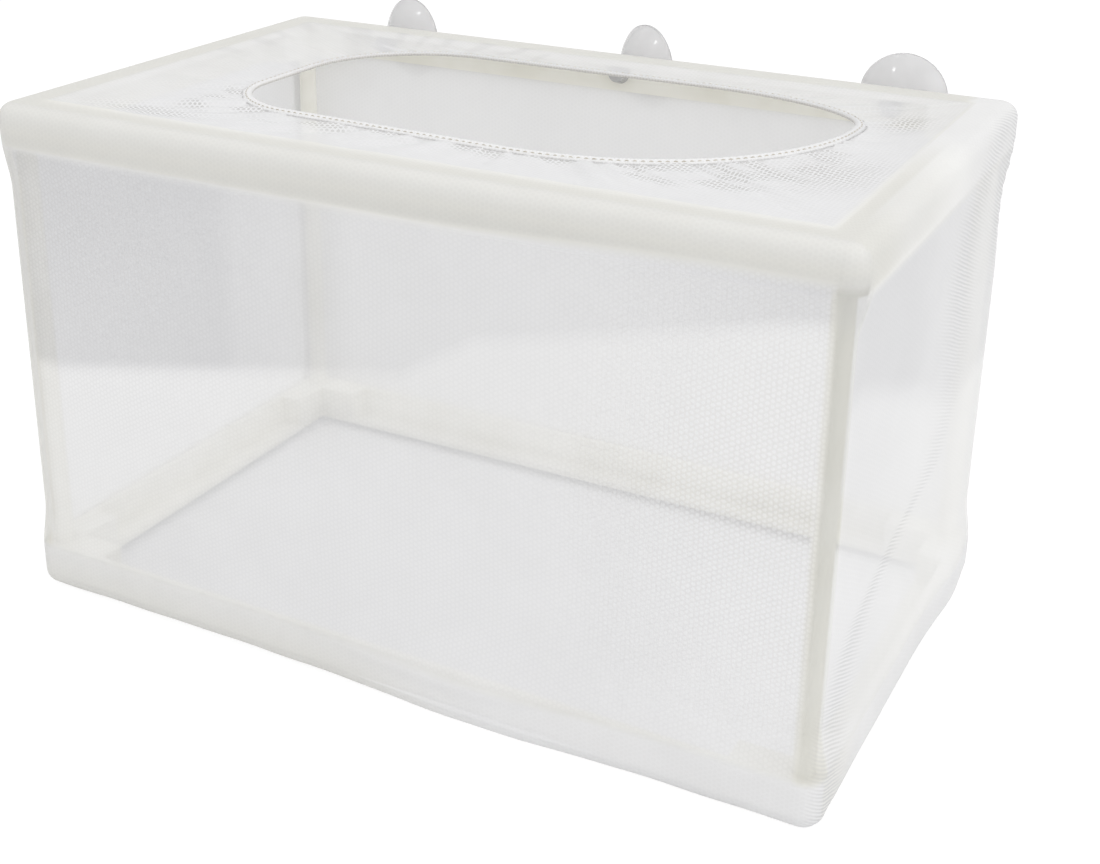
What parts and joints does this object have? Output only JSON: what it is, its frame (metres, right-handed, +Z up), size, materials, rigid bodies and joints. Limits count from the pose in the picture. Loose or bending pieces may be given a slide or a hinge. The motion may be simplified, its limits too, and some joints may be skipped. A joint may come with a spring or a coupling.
{
  "type": "fish breeding box",
  "caption": "Box-shaped mesh breeding cage on a push-fit plastic frame, with an elastic top mouth and suction cups that hold it to an aquarium wall.",
  "frame": {"origin": "middle of the base of the whole object, suction cups included, on the surface it stands on", "axes": "+X along the length to the right as seen from the front, +Y to the back where the suction cups are, +Z up"},
  "size_m": [0.259, 0.1718, 0.1655],
  "materials": {
    "frame_plastic": "satin moulded ivory-white plastic",
    "net_cloth": "fine white nylon mesh, see-through",
    "elastic": "covered elastic cord",
    "clear_cup": "clear soft plastic, slightly frosted"
  },
  "bodies": {
    "cage": {"top_rail_front": "frame_plastic", "top_rail_back": "frame_plastic", "top_rail_left": "frame_plastic", "top_rail_right": "frame_plastic", "bottom_rail_front": "frame_plastic", "bottom_rail_back": "frame_plastic", "bottom_rail_left": "frame_plastic", "bottom_rail_right": "frame_plastic", "post_front_left": "frame_plastic", "post_front_right": "frame_plastic", "post_back_left": "frame_plastic", "post_back_right": "frame_plastic", "top_corner_front_left": "frame_plastic", "top_corner_front_right": "frame_plastic", "top_corner_back_left": "frame_plastic", "top_corner_back_right": "frame_plastic", "bottom_corner_front_left": "frame_plastic", "bottom_corner_front_right": "frame_plastic", "bottom_corner_back_left": "frame_plastic", "bottom_corner_back_right": "frame_plastic", "net_front": "net_cloth", "net_back": "net_cloth", "net_left": "net_cloth", "net_right": "net_cloth", "net_floor": "net_cloth", "net_top": "net_cloth", "mouth_hem": "net_cloth", "elastic_cord": "elastic"},
    "cup_left": {"suction_cup_left": "clear_cup"},
    "cup_middle": {"suction_cup_middle": "clear_cup"},
    "cup_right": {"suction_cup_right": "clear_cup"}
  },
  "joints": [
    {"name": "cup_left_spin", "type": "hinge", "parent": "cage", "child": "cup_left", "pos_m": [-0.091, 0.0672, 0.1515], "axis": [0, 1, 0], "continuous": true},
    {"name": "cup_middle_spin", "type": "hinge", "parent": "cage", "child": "cup_middle", "pos_m": [0, 0.0672, 0.1515], "axis": [0, 1, 0], "continuous": true},
    {"name": "cup_right_spin", "type": "hinge", "parent": "cage", "child": "cup_right", "pos_m": [0.091, 0.0672, 0.1515], "axis": [0, 1, 0], "continuous": true}
  ]
}
